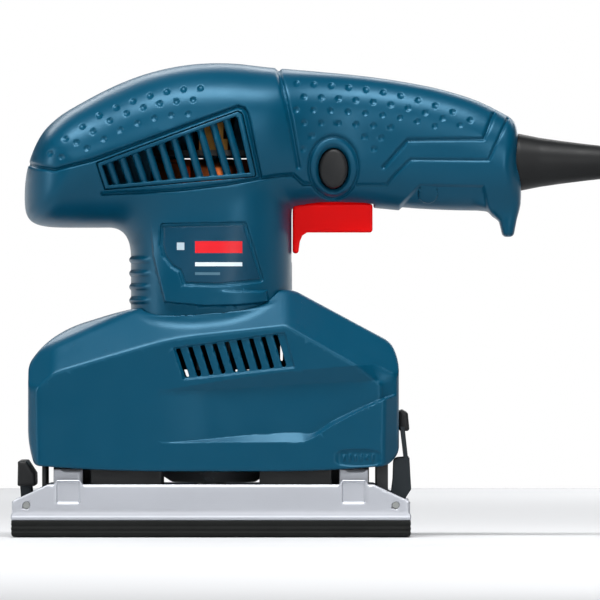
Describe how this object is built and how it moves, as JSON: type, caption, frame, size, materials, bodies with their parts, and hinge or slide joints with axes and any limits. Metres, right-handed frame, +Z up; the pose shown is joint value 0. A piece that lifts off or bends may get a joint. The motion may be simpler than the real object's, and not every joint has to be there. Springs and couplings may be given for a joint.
{
  "type": "orbital finishing sander",
  "caption": "Corded half-width orbital finishing sander with nose grip, rear handle, trigger, lock button, hooded motor and clamped flat pad.",
  "frame": {"origin": "centre of the backing pad's working face, on the pad bearing's axis", "axes": "+Z up out of the pad, +X from the nose grip towards the rear handle and the lead, -Y the side with the lock button"},
  "size_m": [0.432, 0.1135, 0.2161],
  "materials": {
    "housing_shell": "satin moulded blue plastic with a fine grain",
    "nameplate": "satin recessed label film",
    "zinc_steel": "zinc plated",
    "bearing_steel": "ground steel",
    "cast_aluminium": "die cast",
    "lamination_steel": "stacked laminations",
    "copper_winding": "enamelled copper wire",
    "brush_brass": "plain brass",
    "carbon": "pressed carbon",
    "plate_metal": "pressed steel with silver paint",
    "lever_steel": "blackened spring steel",
    "black_grip": "matt moulded black plastic",
    "pad_rubber": "closed-cell black rubber",
    "trigger_red": "satin red plastic",
    "inner_plastic": "moulded inner plastic",
    "sleeve_rubber": "moulded black rubber",
    "cord_jacket": "black rubber cord jacket"
  },
  "bodies": {
    "housing": {"housing_left": "housing_shell", "housing_right": "housing_shell", "louvre_left": "housing_shell", "louvre_right": "housing_shell", "housing_screws": "zinc_steel", "nameplates": "nameplate", "base_hood": "housing_shell", "bearing_bracket": "cast_aluminium", "bracket_screws": "zinc_steel", "flex_feet": "pad_rubber", "stator_core": "lamination_steel", "field_coils": "copper_winding", "brush_plate": "inner_plastic", "brush_holders": "brush_brass", "carbon_brushes": "carbon", "brush_springs": "zinc_steel", "top_bearing_outer": "bearing_steel", "motor_bearing_outer": "bearing_steel", "trigger_spring": "zinc_steel", "switch_body": "inner_plastic", "button_spring": "zinc_steel", "suppressor_capacitor": "inner_plastic", "cord_sleeve": "sleeve_rubber", "cable_clamp": "inner_plastic", "cable_clamp_screws": "zinc_steel", "lead_inside": "cord_jacket", "lead_run": "cord_jacket", "lead_coil": "cord_jacket", "lead_tail": "cord_jacket", "plug_body": "sleeve_rubber", "plug_pins": "brush_brass"},
    "rotor": {"armature_shaft": "bearing_steel", "armature_core": "lamination_steel", "armature_windings": "copper_winding", "commutator": "copper_winding", "cooling_fan": "cast_aluminium", "eccentric_counterweight": "cast_aluminium", "top_bearing_inner": "bearing_steel", "motor_bearing_inner": "bearing_steel", "pad_bearing_inner": "bearing_steel"},
    "sanding_base": {"base_plate": "plate_metal", "backing_pad": "pad_rubber", "pad_screws": "zinc_steel", "pad_bearing_outer": "bearing_steel", "bearing_retainer": "zinc_steel", "clamp_pins": "zinc_steel", "clamp_springs": "zinc_steel"},
    "front_clamp": {"front_clamp_lever": "lever_steel", "front_clamp_grip": "black_grip"},
    "rear_clamp": {"rear_clamp_lever": "lever_steel", "rear_clamp_cap": "black_grip"},
    "trigger": {"trigger": "trigger_red", "switch_plunger": "inner_plastic"},
    "lock_button": {"lock_button": "black_grip"}
  },
  "joints": [
    {"name": "motor_spin", "type": "hinge", "parent": "housing", "child": "rotor", "pos_m": [0.001, 0, 0.1], "axis": [0, 0, 1], "continuous": true},
    {"name": "pad_orbit", "type": "hinge", "parent": "rotor", "child": "sanding_base", "pos_m": [0, 0, 0.017], "axis": [0, 0, 1], "continuous": true, "deforming": ["flex_feet"]},
    {"name": "front_clamp_turn", "type": "hinge", "parent": "sanding_base", "child": "front_clamp", "pos_m": [-0.084, 0, 0.0144], "axis": [0, -1, 0], "range_deg": [0, 62], "stiffness_Nm_per_rad": 0.3, "springref_deg": -20.05},
    {"name": "rear_clamp_turn", "type": "hinge", "parent": "sanding_base", "child": "rear_clamp", "pos_m": [0.084, 0, 0.0144], "axis": [0, 1, 0], "range_deg": [0, 62], "stiffness_Nm_per_rad": 0.3, "springref_deg": -20.05},
    {"name": "trigger_pull", "type": "slide", "parent": "housing", "child": "trigger", "axis": [0, 0, 1], "range_m": [0, 0.0038], "stiffness_N_per_m": 600, "springref_m": -0.004, "deforming": ["trigger_spring"]},
    {"name": "lock_button_press", "type": "slide", "parent": "housing", "child": "lock_button", "axis": [0, 1, 0], "range_m": [0, 0.003], "stiffness_N_per_m": 400, "springref_m": -0.003, "deforming": ["button_spring"]}
  ],
  "couplings": [
    {"joint": "pad_orbit", "follows": "motor_spin", "ratio": -1}
  ]
}
